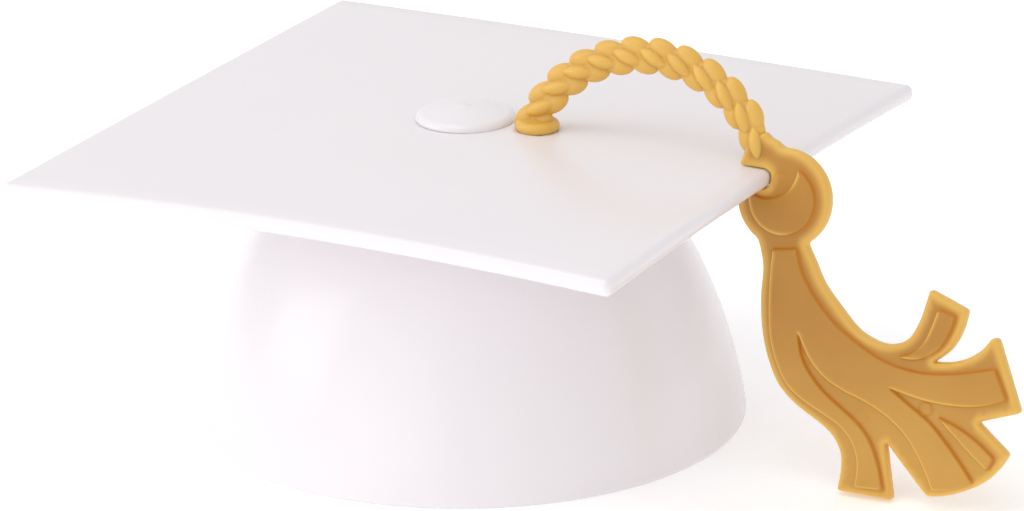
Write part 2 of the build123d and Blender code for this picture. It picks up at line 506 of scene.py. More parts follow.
def joined(name: str, pieces: Sequence[bpy.types.Object]) -> bpy.types.Object:
    """Joins objects into one.

    Args:
        name: the new object's name.
        pieces: the objects, which are removed.

    Returns:
        The new object.
    """
    bm = bmesh.new()
    for piece in pieces:
        bm.from_mesh(piece.data)
        bpy.data.objects.remove(piece)
    mesh = bpy.data.meshes.new(name)
    bm.to_mesh(mesh)
    bm.free()
    mesh.shade_smooth()
    whole = bpy.data.objects.new(name, mesh)
    bpy.context.scene.collection.objects.link(whole)
    return whole


def face_outward(piece: bpy.types.Object, merge: float = 1e-4) -> None:
    """Merges doubles and turns every face outward.

    Args:
        piece: a closed mesh.
        merge: how close two vertices are to be one.
    """
    bm = bmesh.new()
    bm.from_mesh(piece.data)
    bmesh.ops.remove_doubles(bm, verts=bm.verts, dist=merge)
    bmesh.ops.recalc_face_normals(bm, faces=bm.faces)
    bm.to_mesh(piece.data)
    bm.free()
    piece.data.shade_smooth()


def cut(piece: bpy.types.Object, tools: Sequence[bpy.types.Object]) -> None:
    """Cuts shapes out of a piece.

    Args:
        piece: the piece.
        tools: the shapes, which are removed.
    """
    for tool in tools:
        modifier = piece.modifiers.new("cut", "BOOLEAN")
        modifier.operation = "DIFFERENCE"
        modifier.solver = "EXACT"
        modifier.object = tool
    baked(piece)
    for tool in tools:
        bpy.data.objects.remove(tool)


def cylinder(name: str, centre: Sequence[float], radius: float, low: float, high: float) -> bpy.types.Object:
    """Makes an upright cylinder.

    Args:
        name: the object's name.
        centre: its axis in plan.
        radius: its radius.
        low: the height of its bottom.
        high: the height of its top.

    Returns:
        The cylinder.
    """
    bm = bmesh.new()
    place = Matrix.Translation((centre[0], centre[1], (low + high) / 2))
    bmesh.ops.create_cone(
        bm,
        cap_ends=True,
        segments=64,
        radius1=radius,
        radius2=radius,
        depth=high - low,
        matrix=place,
    )
    mesh = bpy.data.meshes.new(name)
    bm.to_mesh(mesh)
    bm.free()
    piece = bpy.data.objects.new(name, mesh)
    bpy.context.scene.collection.objects.link(piece)
    return piece


def store(piece: bpy.types.Object, mask: Mask, values: Points) -> None:
    """Stores a value from 0 to 1 on each vertex."""
    attribute = piece.data.attributes.new(mask.value, "FLOAT", "POINT")
    attribute.data.foreach_set("value", np.clip(values, 0, 1).astype(np.float32))


def vertices_of(piece: bpy.types.Object) -> Points:
    """Reads the positions of a mesh's vertices.

    Args:
        piece: the object.

    Returns:
        One row for each vertex.
    """
    flat = np.empty(len(piece.data.vertices) * 3, np.float32)
    piece.data.vertices.foreach_get("co", flat)
    return flat.reshape(-1, 3).astype(float)


def finish_piece(
    piece: bpy.types.Object, material: bpy.types.Material, body: Body, node: str
) -> None:
    """Brings a piece to metres, dresses it and hands it to the frame.

    Args:
        piece: the finished mesh, in millimetres.
        material: what it is made of.
        body: the body that it rides on.
        node: the CAD node that it stands for.
    """
    piece.data.transform(Matrix.Scale(MM, 4))
    piece.data.materials.clear()
    piece.data.materials.append(material)
    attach(piece, body.value)
    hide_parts(node)
    triangles = sum(len(face.vertices) - 2 for face in piece.data.polygons)
    log.info("%s: %d triangles on body %s", piece.name, triangles, body.value)


@dataclass
class Plate:
    """A thin moulding meshed as an upper and a lower skin that meet in a wall along its outline.

    The heights are functions of the plan. The lines are rows of points that a skin's own figures
    need, and share says how much of the edge's rounding a place takes.
    """

    outline: Points
    upper: Height
    lower: Height
    edge_round: float
    grid: float
    upper_lines: Sequence[Points] = ()
    lower_lines: Sequence[Points] = ()
    holes: Sequence[Points] = ()
    gap: float = 0.06
    round_angles: Sequence[float] = (25.0, 45.0, 67.0, 90.0)
    share: Height | None = None

    def drop(self, depth: Points) -> Points:
        """How far the rounded edge lies below the skin at a depth inside the outline."""
        inner = self.edge_round - np.clip(depth, 0, self.edge_round)
        return self.edge_round - np.sqrt(self.edge_round**2 - inner**2)

    def field(self) -> Points:
        """Lays even rows of points over the whole plate, every other row shifted by half a step.

        Returns:
            The points.
        """
        low, high = self.outline.min(0), self.outline.max(0)
        along = np.arange(low[0], high[0], self.grid)
        across = np.arange(low[1], high[1], self.grid * math.sqrt(0.75))
        shift = self.grid / 2
        return np.concatenate(
            [np.column_stack([along + shift * (i % 2), np.full_like(along, y)]) for i, y in enumerate(across)]
        )

    def spread(self, lines: Sequence[Points]) -> tuple[Points, Points]:
        """Chooses a skin's points.

        Args:
            lines: rows of points that the skin's own figures need.

        Returns:
            The points, with those of the outline and the holes first, and those by themselves.
        """
        fixed = np.concatenate([self.outline, *self.holes])
        turn = np.radians(self.round_angles)
        rounds = [inset(self.outline, self.edge_round * (1 - math.cos(a))) for a in turn]
        loose = np.concatenate([*rounds, *lines])
        loose = loose[depth_inside(loose, self.outline) > self.gap / 2]
        field = self.field()
        field = field[depth_inside(field, self.outline) > self.edge_round]
        for hole in self.holes:
            loose = loose[depth_inside(loose, hole) < -self.gap]
            field = field[depth_inside(field, hole) < -self.gap]
        points = np.concatenate([fixed, loose, field])
        clear = np.repeat([0.0, self.gap, self.grid * 0.6], [len(fixed), len(loose), len(field)])
        tree = kdtree.KDTree(len(points))
        for i, (x, y) in enumerate(points):
            tree.insert((x, y, 0), i)
        tree.balance()
        alive = np.ones(len(points), bool)
        for i, (x, y) in enumerate(points):
            if alive[i]:
                for _, j, away in tree.find_range((x, y, 0), clear[-1]):
                    if j > i and away < clear[j]:
                        alive[j] = False
        return points[alive], fixed

    def skin(self, lines: Sequence[Points], height: Height, sign: int) -> tuple[Points, list, list[int]]:
        """Meshes one skin.

        Args:
            lines: rows of points that its figures need.
            height: the skin's height over a point, before its edge is rounded.
            sign: 1 for the upper skin, -1 for the lower.

        Returns:
            Its vertices, its triangles, and where the fixed loops' points are among the vertices.
        """
        points, fixed = self.spread(lines)
        edges = []
        start = 0
        for loop in (self.outline, *self.holes):
            edges += [(start + i, start + (i + 1) % len(loop)) for i in range(len(loop))]
            start += len(loop)
        flat = [Vector((x, y)) for x, y in points]
        vertices, _, faces, origins, _, _ = delaunay_2d_cdt(flat, edges, [], 0, 1e-6)
        plan = np.array([(v.x, v.y) for v in vertices])
        faces = np.array(faces)
        middle = plan[faces].mean(1)
        keep = is_inside(middle, self.outline)
        for hole in self.holes:
            keep &= ~is_inside(middle, hole)
        where = {old: new for new, olds in enumerate(origins) for old in olds}
        depth = edge_distance(plan, self.outline)
        share = self.share(plan) if self.share else 1.0
        z = height(plan) - sign * self.drop(depth) * share
        faces = faces[keep][:, ::sign]
        return np.column_stack([plan, z]), faces.tolist(), [where[i] for i in range(len(fixed))]

    def build(self, name: str) -> bpy.types.Object:
        """Makes the closed mesh.

        Args:
            name: the object's name.

        Returns:
            The plate, in millimetres.
        """
        top, top_faces, top_ring = self.skin(self.upper_lines, self.upper, 1)
        low, low_faces, low_ring = self.skin(self.lower_lines, self.lower, -1)
        offset = len(top)
        faces = top_faces + [[i + offset for i in face] for face in low_faces]
        start = 0
        for loop in (self.outline, *self.holes):
            for i in range(len(loop)):
                a, b = start + i, start + (i + 1) % len(loop)
                faces.append([top_ring[a], low_ring[a] + offset, low_ring[b] + offset, top_ring[b]])
            start += len(loop)
        piece = new_object(name, np.vstack([top, low]), faces)
        face_outward(piece)
        return piece


# ---- geometry node trees ----------------------------------------------------------------------
def geometry_tree(name: str, inputs: dict[str, tuple[str, Any]]) -> tuple[bpy.types.NodeTree, Any]:
    """Starts a geometry tree.

    Args:
        name: the tree's name.
        inputs: each input's kind and first value, by name, besides Geometry.

    Returns:
        The tree and its group input's sockets.
    """
    tree = bpy.data.node_groups.new(name, "GeometryNodeTree")
    interface(tree, {"Geometry": ("Geometry", None), **inputs}, {"Geometry": "Geometry"})
    return tree, add(tree, "NodeGroupInput").outputs


def complete(tree: bpy.types.NodeTree, given: Any, shape: bpy.types.NodeSocket) -> bpy.types.NodeTree:
    """Ends a geometry tree: real meshes, dressed in its Material.

    Args:
        tree: the tree.
        given: its group input's sockets.
        shape: the geometry that it has made.

    Returns:
        The same tree.
    """
    real = add(tree, "GeometryNodeRealizeInstances", {"Geometry": shape})
    dress = {"Geometry": real.outputs[0], "Material": given["Material"]}
    dressed = add(tree, "GeometryNodeSetMaterial", dress)
    add(tree, "NodeGroupOutput", {"Geometry": dressed.outputs[0]})
    return tree


def spot_at(tree: bpy.types.NodeTree, radius: Any, angle: Any, third: Any) -> bpy.types.NodeSocket:
    """Places a point round the third axis.

    Args:
        tree: the geometry tree.
        radius: how far from the axis.
        angle: the turn about the axis, in radians.
        third: the height along the axis.

    Returns:
        The point's socket.
    """
    across = maths(tree, "MULTIPLY", radius, maths(tree, "COSINE", angle))
    up = maths(tree, "MULTIPLY", radius, maths(tree, "SINE", angle))
    return add(tree, "ShaderNodeCombineXYZ", {0: across, 1: up, 2: third}).outputs[0]


def grow(piece: bpy.types.Object, tree: bpy.types.NodeTree, **values: Any) -> None:
    """Adds a geometry tree to an object as a modifier.

    Args:
        piece: the object.
        tree: the geometry tree.
        values: its inputs, by their names in lower case with underscores.
    """
    modifier = piece.modifiers.new(tree.name, "NODES")
    modifier.node_group = tree
    for item in tree.interface.items_tree:
        key = item.name.lower().replace(" ", "_")
        if item.in_out == "INPUT" and key in values:
            modifier[item.identifier] = values[key]


def lathe_tree() -> bpy.types.NodeTree:
    """Turns the object's own row of vertices, drawn in the XZ plane, about the Z axis.

    Returns:
        The tree.
    """
    tree, given = geometry_tree("turned", {"Segments": ("Int", 96), "Material": ("Material", None)})
    size = add(tree, "GeometryNodeAttributeDomainSize", {"Geometry": given["Geometry"]}, component="MESH")
    count = size.outputs["Point Count"]
    columns = maths(tree, "ADD", given["Segments"], 1.0)
    sizes = {"Size X": 1.0, "Size Y": 1.0, "Vertices X": columns, "Vertices Y": count}
    grid = add(tree, "GeometryNodeMeshGrid", sizes)
    index = add(tree, "GeometryNodeInputIndex").outputs[0]
    column = maths(tree, "FLOOR", maths(tree, "DIVIDE", maths(tree, "ADD", index, 0.5), count))
    before = maths(tree, "MULTIPLY", column, count)
    row = maths(tree, "FLOOR", maths(tree, "ADD", maths(tree, "SUBTRACT", index, before), 0.5))
    turn = maths(tree, "DIVIDE", maths(tree, "MULTIPLY", column, math.tau), given["Segments"])
    place = add(tree, "GeometryNodeInputPosition").outputs[0]
    profile = add(tree, "GeometryNodeSampleIndex", data_type="FLOAT_VECTOR", domain="POINT")
    tree.links.new(given["Geometry"], profile.inputs["Geometry"])
    tree.links.new(place, profile.inputs["Value"])
    tree.links.new(row, profile.inputs["Index"])
    spinning = {"Vector": profile.outputs[0], "Angle": turn}
    spun = add(tree, "ShaderNodeVectorRotate", spinning, rotation_type="Z_AXIS").outputs[0]
    moved = add(tree, "GeometryNodeSetPosition", {"Geometry": grid.outputs["Mesh"], "Position": spun})
    merged = add(tree, "GeometryNodeMergeByDistance", {"Geometry": moved.outputs[0], "Distance": 0.0005})
    return complete(tree, given, merged.outputs[0])


def turned(
    name: str, profile: Sequence[tuple[float, float]], tree: bpy.types.NodeTree, segments: int
) -> bpy.types.Object:
    """A solid of revolution.

    Args:
        name: the object's name.
        profile: radius and height of each point, from the axis round to the axis.
        tree: the turned tree.
        segments: how many facets go round.

    Returns:
        The solid, in millimetres.
    """
    mesh = bpy.data.meshes.new(name)
    mesh.from_pydata([(r, 0, z) for r, z in profile], [(i, i + 1) for i in range(len(profile) - 1)], [])
    piece = bpy.data.objects.new(name, mesh)
    bpy.context.scene.collection.objects.link(piece)
    grow(piece, tree, segments=segments)
    baked(piece)
    face_outward(piece)
    return piece


def bell_tree() -> bpy.types.NodeTree:
    """The skull cap's outer skin: a bell by the rule of its arc, with a flat crown round an opening.

    Returns:
        The tree.
    """
    tree, given = geometry_tree(
        "bell",
        {
            "Curve Radius": ("Float", 70.0),
            "Centre Radius": ("Float", -34.0),
            "Centre Height": ("Float", -10.0),
            "Crown Height": ("Float", 38.0),
            "Crown Width": ("Float", 16.0),
            "Rings": ("Int", 64),
            "Segments": ("Int", 192),
            "Material": ("Material", None),
        },
    )
    columns = maths(tree, "ADD", given["Segments"], 1.0)
    sizes = {"Size X": 1.0, "Size Y": 1.0, "Vertices X": columns, "Vertices Y": given["Rings"]}
    grid = add(tree, "GeometryNodeMeshGrid", sizes)
    place = add(tree, "GeometryNodeInputPosition").outputs[0]
    split = add(tree, "ShaderNodeSeparateXYZ", {0: place})
    turn = maths(tree, "MULTIPLY", maths(tree, "ADD", split.outputs[0], 0.5), math.tau)
    length = maths(tree, "ADD", given["Crown Height"], given["Crown Width"])
    along = maths(tree, "MULTIPLY", maths(tree, "ADD", split.outputs[1], 0.5), length)
    height = maths(tree, "MINIMUM", along, given["Crown Height"])
    inward = maths(tree, "SUBTRACT", along, height)
    rise = maths(tree, "SUBTRACT", height, given["Centre Height"])
    curve = maths(tree, "POWER", given["Curve Radius"], 2.0)
    squared = maths(tree, "SUBTRACT", curve, maths(tree, "POWER", rise, 2.0))
    bell = maths(tree, "ADD", given["Centre Radius"], maths(tree, "SQRT", squared))
    radius = maths(tree, "SUBTRACT", bell, inward)
    spot = spot_at(tree, radius, turn, height)
    moved = add(tree, "GeometryNodeSetPosition", {"Geometry": grid.outputs["Mesh"], "Position": spot})
    merged = add(tree, "GeometryNodeMergeByDistance", {"Geometry": moved.outputs[0], "Distance": 0.001})
    return complete(tree, given, merged.outputs[0])


def plait_tree() -> bpy.types.NodeTree:
    """Adds one row of a plait's lobes along an arc to the geometry that comes in.

    Returns:
        The tree.
    """
    tree, given = geometry_tree(
        "plait_row",
        {
            "Count": ("Int", 10),
            "First Angle": ("Float", 2.5),
            "Pitch": ("Float", 0.2),
            "Centre": ("Vector", (0.0, 0.0, 0.0)),
            "Radius": ("Float", 18.0),
            "Lobe Size": ("Vector", (2.0, 1.4, 1.4)),
            "Slant": ("Float", 0.0),
            "Slant Step": ("Float", 0.0),
            "Front": ("Float", 0.0),
            "Pointed": ("Float", 0.0),
            "Material": ("Material", None),
        },
    )
    index = add(tree, "GeometryNodeInputIndex").outputs[0]
    angle = maths(tree, "SUBTRACT", given["First Angle"], maths(tree, "MULTIPLY", given["Pitch"], index))
    spot = spot_at(tree, given["Radius"], angle, given["Front"])
    place = add(tree, "ShaderNodeVectorMath", {0: spot, 1: given["Centre"]}, operation="ADD")
    points = add(tree, "GeometryNodePoints", {"Count": given["Count"], "Position": place.outputs[0]})
    slant = maths(tree, "ADD", given["Slant"], maths(tree, "MULTIPLY", given["Slant Step"], index))
    turn = maths(tree, "ADD", maths(tree, "SUBTRACT", angle, math.pi / 2), slant)
    euler = add(tree, "ShaderNodeCombineXYZ", {2: turn})
    ball = add(tree, "GeometryNodeMeshUVSphere", {"Segments": 24, "Rings": 14, "Radius": 1.0})
    own = add(tree, "ShaderNodeSeparateXYZ", {0: add(tree, "GeometryNodeInputPosition").outputs[0]})
    squared = maths(tree, "POWER", maths(tree, "ABSOLUTE", own.outputs[0]), 2.0)
    taper = maths(tree, "SUBTRACT", 1.0, maths(tree, "MULTIPLY", given["Pointed"], squared))
    wide, deep = (maths(tree, "MULTIPLY", own.outputs[axis], taper) for axis in (1, 2))
    slim = add(tree, "ShaderNodeCombineXYZ", {0: own.outputs[0], 1: wide, 2: deep}).outputs[0]
    lobe = add(tree, "GeometryNodeSetPosition", {"Geometry": ball.outputs["Mesh"], "Position": slim})
    row = add(
        tree,
        "GeometryNodeInstanceOnPoints",
        {
            "Points": points.outputs[0],
            "Instance": lobe.outputs[0],
            "Rotation": euler.outputs[0],
            "Scale": given["Lobe Size"],
        },
    )
    both = add(tree, "GeometryNodeJoinGeometry", {0: row.outputs[0]})
    tree.links.new(given["Geometry"], both.inputs[0])
    return complete(tree, given, both.outputs[0])


# ---- sub-assemblies ---------------------------------------------------------------------------
@dataclass
class Board:
    """The square board, warped a little as it cooled, with its seat and key underneath."""

    side: float = 89.5
    thickness: float = 2.3
    top: float = 41.0
    corner: float = 0.95
    edge: float = 0.95
    drops: tuple = ((2.3, 0.7, 1.8), (1.9, 0.0, 0.8), (1.7, 1.5, 1.9))
    boss_radius: float = 16.0
    boss_height: float = 0.55
    key_offset: float = 10.6
    key_radius: float = 1.5
    key_length: float = 1.4
    key_root: float = 0.3
    stem_bore: float = 2.6
    peg_offset: float = 10.85
    peg_bore: float = 1.51

    @staticmethod
    def between(low: Points, middle: Points, high: Points, t: Points) -> Points:
        """The parabola through three values at t = -1, 0 and 1, read at t."""
        return low * t * (t - 1) / 2 + middle * (1 - t * t) + high * t * (t + 1) / 2

    def surface(self, plan: Points) -> Points:
        """Height of the warped top.

        Args:
            plan: points of the plan.

        Returns:
            The height over each point.
        """
        x, y = plan.T / (self.side / 2)
        front, middle, back = (self.between(*row, x) for row in self.drops)
        return self.top - self.between(front, middle, back, y)

    @property
    def seat(self) -> float:
        """Height of the flat seat under the board."""
        return self.top - self.thickness - self.boss_height

    def underside(self, plan: Points) -> Points:
        """Height of the underside, with the boss standing below it.

        Args:
            plan: points of the plan.

        Returns:
            The height under each point.
        """
        below = self.surface(plan) - self.thickness
        from_axis = np.linalg.norm(plan, axis=1)
        return np.where(from_axis < self.boss_radius + 0.01, self.seat, below)

    def outline(self) -> Points:
        """The plan of the board: a square with rounded corners.

        Returns:
            The loop's points.
        """
        half = self.side / 2
        inner = half - self.corner
        corners = ((inner, inner, 0), (-inner, inner, 90), (-inner, -inner, 180), (inner, -inner, 270))
        loop = []
        for (x, y, first), (nx, ny, following) in zip(corners, corners[1:] + corners[:1]):
            turn = arc((x, y), self.corner, first, first + 90, 0.25)
            leave = math.radians(following)
            start = (x + self.corner * math.cos(leave), y + self.corner * math.sin(leave))
            stop = (nx + self.corner * math.cos(leave), ny + self.corner * math.sin(leave))
            loop += [turn, stroke(start, stop, step=1.0)]
        return np.concatenate(loop)

    def build(self, material: bpy.types.Material) -> bpy.types.Object:
        """Makes the board and its key as one piece.

        Args:
            material: its plastic.

        Returns:
            The finished piece.
        """
        bores = [
            arc((0, 0), self.stem_bore, 0, 360, 0.4),
            arc((self.peg_offset, 0), self.peg_bore, 0, 360, 0.4),
        ]
        step_lines = [arc((0, 0), self.boss_radius + gap, 0, 360, 0.6) for gap in (0.0, 0.07)]
        plate = Plate(
            self.outline(), self.surface, self.underside, self.edge, 2.2, lower_lines=step_lines, holes=bores
        )
        board = plate.build("mortarboard_sheet")
        key_end = self.seat - self.key_length
        key = cylinder("key", (-self.key_offset, 0), self.key_radius, key_end, self.seat + self.key_root)
        piece = joined("mortarboard_panel", [board, key])
        finish_piece(piece, material, Body.CAP, "mortarboard")
        return piece


@dataclass
class SkullCap:
    """The bell-shaped shell that the board sits on."""

    curve_radius: float = 72.2
    centre: tuple[float, float] = (-34.28, -9.88)
    crown_height: float = 38.10
    crown_width: float = 18.5
    wall: float = 1.8
    rim_round: float = 0.55
    stem_bore: float = 2.6
    key_offset: float = 10.6
    key_bore: float = 1.6
    peg_offset: float = 10.85
    peg_bore: float = 2.45
    crisp: float = 0.65

    def build(self, material: bpy.types.Material, bell: bpy.types.NodeTree) -> bpy.types.Object:
        """Makes the shell by the bell's rule, gives it a wall and a rounded rim, and bores the crown.

        Args:
            material: its plastic.
            bell: the bell tree.

        Returns:
            The finished piece.
        """
        mesh = bpy.data.meshes.new("skull_cap_shell")
        piece = bpy.data.objects.new("skull_cap_shell", mesh)
        bpy.context.scene.collection.objects.link(piece)
        grow(
            piece,
            bell,
            curve_radius=self.curve_radius,
            centre_radius=self.centre[0],
            centre_height=self.centre[1],
            crown_height=self.crown_height,
            crown_width=self.crown_width,
            rings=96,
            segments=224,
            material=material,
        )
        baked(piece)
        face_outward(piece, 1e-3)
        self.point_outward(piece)
        self.fill_crown(piece)
        wall = piece.modifiers.new("wall", "SOLIDIFY")
        wall.thickness = self.wall
        wall.offset = -1
        baked(piece)
        self.round_rim(piece)
        low, high = self.crown_height - 2 * self.wall, self.crown_height + self.wall
        bores = ((0, self.stem_bore), (-self.key_offset, self.key_bore), (self.peg_offset, self.peg_bore))
        cut(piece, [cylinder("bore", (x, 0), radius, low, high) for x, radius in bores])
        self.shade(piece)
        finish_piece(piece, material, Body.CAP, "skull_cap")
        return piece

    def point_outward(self, piece: bpy.types.Object) -> None:
        """Turns the open skin so that its faces look away from the axis.

        Args:
            piece: the skin.
        """
        mesh = piece.data
        face = max(mesh.polygons, key=lambda polygon: Vector(polygon.center).xy.length)
        if Vector(face.normal).xy.dot(Vector(face.center).xy) < 0:
            mesh.flip_normals()

    def fill_crown(self, piece: bpy.types.Object) -> None:
        """Closes the crown's middle.

        Args:
            piece: the skin, open at its crown and its rim.
        """
        bm = bmesh.new()
        bm.from_mesh(piece.data)
        ring = [e for e in bm.edges if e.is_boundary and e.verts[0].co.z > self.crown_height / 2]
        bmesh.ops.contextual_create(bm, geom=ring)
        bmesh.ops.recalc_face_normals(bm, faces=bm.faces)
        bm.to_mesh(piece.data)
        bm.free()
        self.point_outward(piece)

    def round_rim(self, piece: bpy.types.Object) -> None:
        """Rounds the two edges of the rim.

        Args:
            piece: the shell.
        """
        bm = bmesh.new()
        bm.from_mesh(piece.data)
        rim = [e for e in bm.edges if max(v.co.z for v in e.verts) < self.wall]
        sharp = [e for e in rim if e.calc_face_angle(0) > self.crisp]
        bmesh.ops.bevel(bm, geom=sharp, offset=self.rim_round, segments=4, profile=0.5, affect="EDGES")
        bm.to_mesh(piece.data)
        bm.free()

    def shade(self, piece: bpy.types.Object) -> None:
        """Shades the bell smooth and keeps the crown's edges crisp.

        Args:
            piece: the shell.
        """
        piece.data.shade_smooth()
        bm = bmesh.new()
        bm.from_mesh(piece.data)
        for edge in bm.edges:
            edge.smooth = edge.calc_face_angle(0) < self.crisp
        bm.to_mesh(piece.data)
        bm.free()


@dataclass
class Button:
    """The domed button, with the split stem that rivets the board to the crown."""

    radius: float = 6.65
    base: float = 41.07
    shoulder: float = 1.25
    shoulder_height: float = 1.05
    height: float = 1.72
    gate_radius: float = 0.55
    gate_height: float = 0.10
    stem_radius: float = 2.5
    snap_lip: float = 0.5
    snap_z: float = 36.20
    snap_land: float = 0.4
    snap_tip: float = 1.75
    snap_length: float = 2.4
    slot_width: float = 1.0
    slot_rise: float = 1.5
    burr: float = 0.06

    def profile(self) -> list[tuple[float, float]]:
        """Draws the button's section, from the stem's end up round the head.

        Returns:
            The radius and height of each point.
        """
        low, lip = self.snap_z - self.snap_length, self.stem_radius + self.snap_lip
        points = [(0.0, low), (self.snap_tip, low), (lip, self.snap_z - self.snap_land)]
        points += [(lip, self.snap_z), (self.stem_radius, self.snap_z), (self.stem_radius, self.base)]
        points += [(self.radius - self.burr, self.base), (self.radius, self.base + self.burr)]
        inner = self.radius - self.shoulder
        for turn in np.radians(np.linspace(8, 76, 12)):
            out, up = self.shoulder * math.cos(turn), self.shoulder_height * math.sin(turn)
            points.append((inner + out, self.base + up))
        rise = self.height - self.shoulder_height
        for share in np.linspace(0.97, 0.14, 18):
            points.append((inner * share, self.base + self.shoulder_height + rise * (1 - share**2)))
        crown = self.base + self.height
        points += [(self.gate_radius, crown + self.gate_height), (0.0, crown + self.gate_height * 1.2)]
        return points

    def build(self, material: bpy.types.Material, lathe: bpy.types.NodeTree) -> bpy.types.Object:
        """Turns the button and saws the slot in its stem.

        Args:
            material: its plastic.
            lathe: the turned tree.

        Returns:
            The finished piece.
        """
        piece = turned("button_rivet", self.profile(), lathe, 128)
        low = self.snap_z - self.snap_length
        high = self.snap_z + self.slot_rise
        cut(piece, [saw_blade((0, 0), 3 * self.stem_radius, self.slot_width, low - 1, high, 0)])
        piece.data.shade_smooth()
        finish_piece(piece, material, Body.CAP, "button")
        return piece


def saw_blade(
    centre: tuple[float, float], length: float, width: float, low: float, high: float, turn: float
) -> bpy.types.Object:
    """Makes the flat upright block that cuts the slot between a snap end's two halves.

    Args:
        centre: its middle in plan.
        length: its length, which is more than the snap end's.
        width: the width of the slot that it cuts.
        low: the height of its bottom.
        high: the height of its top.
        turn: how far it is turned about its upright axis, in radians.

    Returns:
        The block.
    """
    bm = bmesh.new()
    place = Matrix.Translation((*centre, (low + high) / 2)) @ Matrix.Rotation(turn, 4, "Z")
    bmesh.ops.create_cube(bm, size=1, matrix=place @ Matrix.Diagonal((length, width, high - low, 1)))
    mesh = bpy.data.meshes.new("saw_blade")
    bm.to_mesh(mesh)
    bm.free()
    piece = bpy.data.objects.new("saw_blade", mesh)
    bpy.context.scene.collection.objects.link(piece)
    return piece


@dataclass
class PlaitRow:
    """One row of the braid's lobes, by angles in degrees about the arch's centre."""

    count: int
    first: float
    pitch: float
    radius: float
    size: tuple[float, float, float]
    slant: float = 0.0
    slant_step: float = 0.0
    front: float = 0.0
    pointed: float = 0.0


@dataclass(frozen=True)
class Ring:
    """A shallow round groove that an ejector pin leaves."""

    centre: tuple[float, float]
    radius: float
    depth: float


